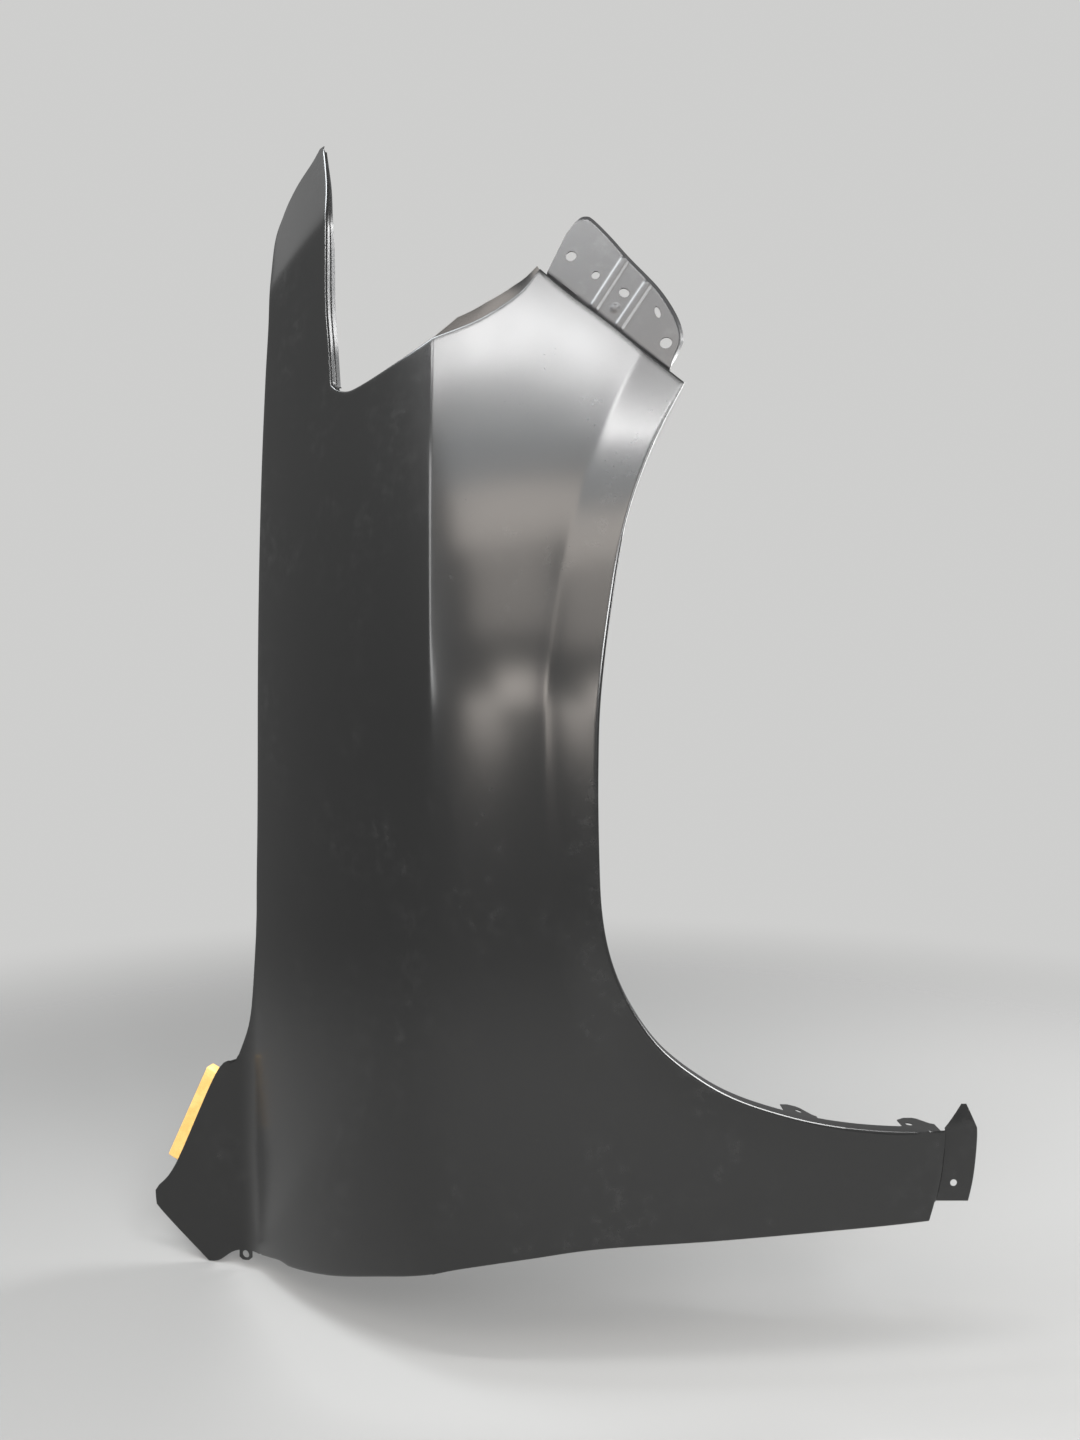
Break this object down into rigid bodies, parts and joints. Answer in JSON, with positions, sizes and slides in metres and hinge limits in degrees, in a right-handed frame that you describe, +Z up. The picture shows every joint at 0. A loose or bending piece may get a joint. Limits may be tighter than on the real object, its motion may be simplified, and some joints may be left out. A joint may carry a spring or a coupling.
{
  "type": "car fender",
  "caption": "Right-hand front fender of an SUV-type car: black primed pressed sheet with a welded bumper bracket and a foam pad at the cowl corner.",
  "frame": {"origin": "on the underside of the bonnet flange, 26 mm behind the middle bolt hole", "axes": "+X towards the front of the car, +Y inboard (the car's left), +Z up"},
  "size_m": [1.371, 0.3182, 0.9279],
  "materials": {
    "primer": "satin black electrocoat primer",
    "bracket": "semi-gloss black electrocoat primer",
    "foam": "matt open-cell foam"
  },
  "bodies": {
    "root": {"fender_panel": "primer", "bumper_bracket": "bracket", "cowl_foam_pad": "foam"}
  },
  "joints": []
}
